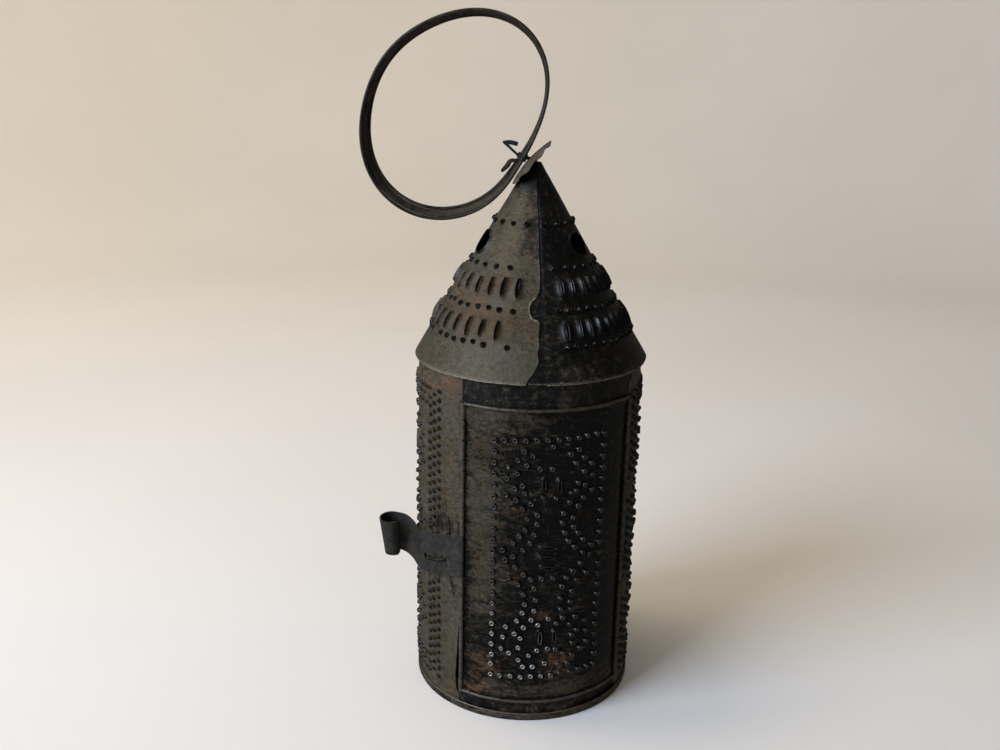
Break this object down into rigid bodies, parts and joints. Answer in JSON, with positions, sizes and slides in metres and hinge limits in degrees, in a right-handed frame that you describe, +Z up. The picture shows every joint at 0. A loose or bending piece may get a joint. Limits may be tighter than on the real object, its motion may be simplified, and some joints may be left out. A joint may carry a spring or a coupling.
{
  "type": "candle lantern",
  "caption": "Punched-tin candle lantern: round body with a hinged curved door and hasp, conical vented roof, crimped heat shield, strap ring handle and a candle in a socket.",
  "frame": {"origin": "middle of the base pan's underside, on the body's axis", "axes": "+Z up along the body's axis; the middle of the door faces -Y; +X to the right of someone facing the door"},
  "size_m": [0.1756, 0.1452, 0.4235],
  "materials": {
    "body_tin": "worn black japanning over tinplate, dusty, with rust patches",
    "roof_tin": "worn black japanning over tinplate, satin",
    "door_tin": "black japanning over tinplate, semi-gloss on the punches, rubbed brown in places",
    "pan_tin": "worn black japanning, browned along the rim",
    "strap_tin": "worn black japanning",
    "hasp_tin": "dark grey worn tin, satin",
    "shield_tin": "brown tarnished tin, matt",
    "ring_tin": "dark worn tin, satin",
    "tie_iron": "dark iron strap, satin",
    "wire_iron": "dark iron wire, satin",
    "socket_tin": "dull grey tin with soot",
    "wax": "off-white wax, soft sheen",
    "cotton": "charred cotton"
  },
  "bodies": {
    "lantern": {"base_pan": "pan_tin", "body_shell": "body_tin", "candle_socket": "socket_tin", "roof_cone": "roof_tin", "apex_staple": "wire_iron", "hinge_strap_upper": "strap_tin", "hinge_strap_lower": "strap_tin", "hasp_staple": "wire_iron", "staple_plate": "body_tin"},
    "door": {"door_panel": "door_tin", "door_hinge_pin": "wire_iron", "hasp_pin": "wire_iron"},
    "hasp": {"hasp": "hasp_tin"},
    "handle": {"heat_shield": "shield_tin", "handle_tie": "tie_iron", "ring_band": "ring_tin", "ring_wire_front": "ring_tin", "ring_wire_back": "ring_tin"},
    "candle": {"candle": "wax", "wick": "cotton"}
  },
  "joints": [
    {"name": "door_hinge", "type": "hinge", "parent": "lantern", "child": "door", "pos_m": [0.05091, -0.04848, 0.108], "axis": [0, 0, 1], "range_deg": [0, 110]},
    {"name": "hasp_hinge", "type": "hinge", "parent": "door", "child": "hasp", "pos_m": [-0.0504, -0.04901, 0.1055], "axis": [0, 0, 1], "range_deg": [0, 75]},
    {"name": "handle_swing", "type": "hinge", "parent": "lantern", "child": "handle", "pos_m": [0, 0, 0.3387], "axis": [0.225, 0.9744, 0], "range_deg": [0, 80]},
    {"name": "candle_lift", "type": "slide", "parent": "lantern", "child": "candle", "axis": [0, 0, 1], "range_m": [0, 0.03]}
  ]
}
